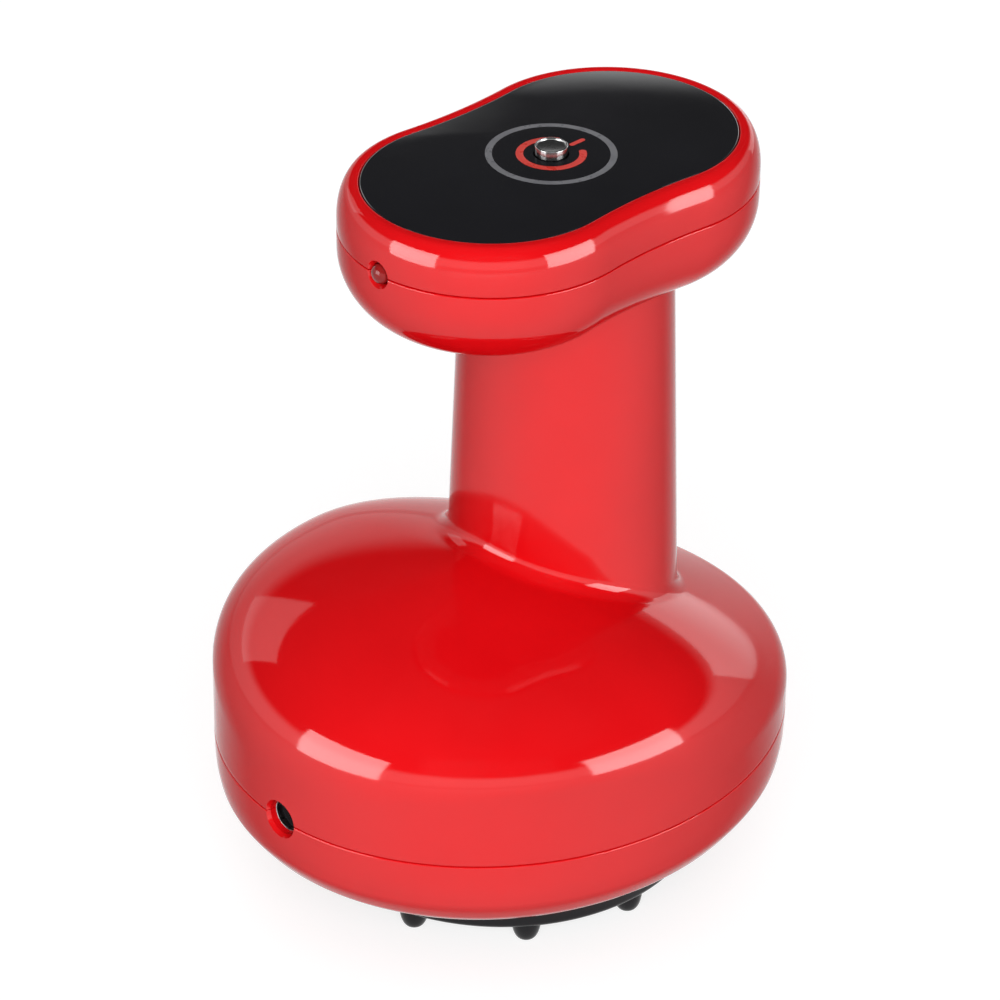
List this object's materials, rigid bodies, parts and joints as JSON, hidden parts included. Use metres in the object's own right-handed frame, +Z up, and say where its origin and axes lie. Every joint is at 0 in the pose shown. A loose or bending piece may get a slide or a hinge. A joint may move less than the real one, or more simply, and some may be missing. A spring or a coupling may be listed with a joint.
{
  "type": "electric cupping massager",
  "caption": "Hand-held cupping massager: oval domed base with a round plate of nubs, upright neck and a peanut-shaped head with a control panel and a button.",
  "frame": {"origin": "middle of the footprint, on the plane of the nub tips that the massager stands on", "axes": "+Z up along the neck, +Y from the front with the charging socket and the lamp to the back, X across"},
  "size_m": [0.091, 0.1, 0.1276],
  "materials": {
    "red_shell": "high gloss",
    "black_panel": "high gloss",
    "black_plate": "gloss",
    "button_metal": "turned and polished",
    "lamp_lens": "clear, slightly milky",
    "light_lens": "red, see-through",
    "inner_black": "matte",
    "grey_plastic": "matte",
    "white_plastic": "matte",
    "circuit_board": "satin solder mask",
    "steel": "plain",
    "screw_steel": "zinc plated",
    "cell_sleeve": "shrink sleeve",
    "foam": "open foam",
    "rubber": "matte",
    "silicone": "translucent",
    "lead_sleeve": "satin"
  },
  "bodies": {
    "housing": {"head_top_cover": "red_shell", "head_lower_cover": "red_shell", "body_cover": "red_shell", "base_lower_cover": "red_shell", "control_panel": "black_panel", "indicator_led": "lamp_lens", "switch_body": "inner_black", "button_board": "circuit_board", "charging_jack": "inner_black", "massage_plate": "black_plate", "light_lens": "light_lens", "light_board": "circuit_board", "filter_cap": "grey_plastic", "filter_sponge": "foam", "suction_nozzle": "white_plastic", "motor_can": "steel", "pump_crankcase": "grey_plastic", "pump_diaphragm": "rubber", "pump_head": "grey_plastic", "valve_body": "inner_black", "valve_cap": "steel", "valve_spring": "screw_steel", "pump_hose": "silicone", "valve_hose": "silicone", "battery_cell": "cell_sleeve", "battery_foam": "foam", "main_board": "circuit_board", "control_chip": "inner_black", "power_inductor": "inner_black", "panel_lead": "lead_sleeve", "massage_nub_01": "black_plate", "massage_nub_02": "black_plate", "massage_nub_03": "black_plate", "massage_nub_04": "black_plate", "massage_nub_05": "black_plate", "massage_nub_06": "black_plate", "massage_nub_07": "black_plate", "massage_nub_08": "black_plate", "massage_nub_09": "black_plate", "massage_nub_10": "black_plate", "plate_screw_1": "screw_steel", "base_screw_1": "screw_steel", "plate_screw_2": "screw_steel", "base_screw_2": "screw_steel", "plate_screw_3": "screw_steel", "base_screw_3": "screw_steel", "plate_screw_4": "screw_steel", "base_screw_4": "screw_steel", "neck_screw_1": "screw_steel", "cover_screw_1": "screw_steel", "neck_screw_2": "screw_steel", "cover_screw_2": "screw_steel"},
    "button": {"power_button": "button_metal", "switch_plunger": "white_plastic"},
    "pump_rotor": {"motor_shaft": "steel", "pump_eccentric": "steel"},
    "pump_rod": {"pump_rod": "white_plastic"},
    "valve_plunger": {"valve_plunger": "steel"}
  },
  "joints": [
    {"name": "button_press", "type": "slide", "parent": "housing", "child": "button", "axis": [0, 0, -1], "range_m": [0, 0.0005], "stiffness_N_per_m": 2500},
    {"name": "pump_spin", "type": "hinge", "parent": "housing", "child": "pump_rotor", "pos_m": [0.0015, -0.022, 0.0285], "axis": [1, 0, 0], "continuous": true},
    {"name": "rod_stroke", "type": "slide", "parent": "housing", "child": "pump_rod", "axis": [0, 0, 1], "range_m": [-0.0006, 0.0006], "stiffness_N_per_m": 400, "deforming": ["pump_diaphragm"]},
    {"name": "valve_lift", "type": "slide", "parent": "housing", "child": "valve_plunger", "axis": [0, 0, 1], "range_m": [0, 0.0015], "stiffness_N_per_m": 300, "deforming": ["valve_spring"]}
  ]
}
